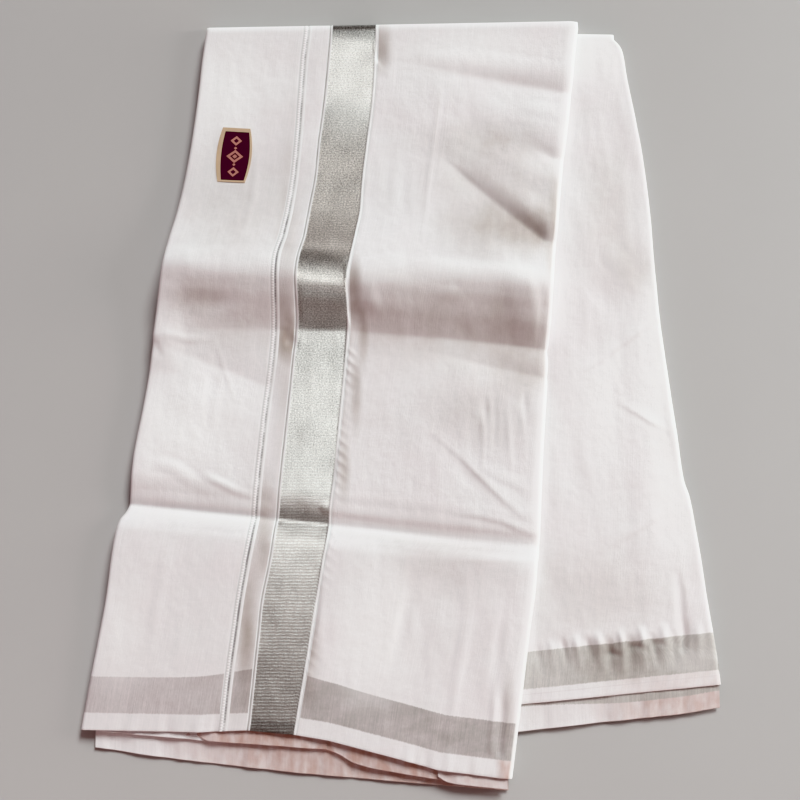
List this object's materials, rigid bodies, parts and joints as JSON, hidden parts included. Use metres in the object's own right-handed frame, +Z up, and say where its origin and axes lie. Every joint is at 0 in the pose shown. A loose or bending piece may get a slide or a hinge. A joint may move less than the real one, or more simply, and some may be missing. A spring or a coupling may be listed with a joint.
{
  "type": "folded dhoti cloth",
  "caption": "Folded white cotton dhoti: a pleated strip folded once into two fanned leaves, with a silver woven band and grey hem borders.",
  "frame": {"origin": "on the surface the cloth lies on, under the middle of its outline", "axes": "+Y from the hems to the top fold, +X to the right along the top fold, +Z up"},
  "size_m": [0.516, 0.652, 0.031],
  "materials": {
    "white_cotton": "plain woven cotton, pressed, soft matt",
    "hem_cotton": "plain woven cotton selvedge, soft matt",
    "inner_cotton": "stacked cotton folds, soft matt",
    "label_paper": "printed sticker, satin"
  },
  "bodies": {
    "root": {"front_top_panel": "white_cotton", "front_middle_hem": "hem_cotton", "front_bottom_hem": "hem_cotton", "rear_top_panel": "white_cotton", "rear_lower_hem": "hem_cotton", "hidden_layers": "inner_cotton", "size_label": "label_paper"}
  },
  "joints": []
}
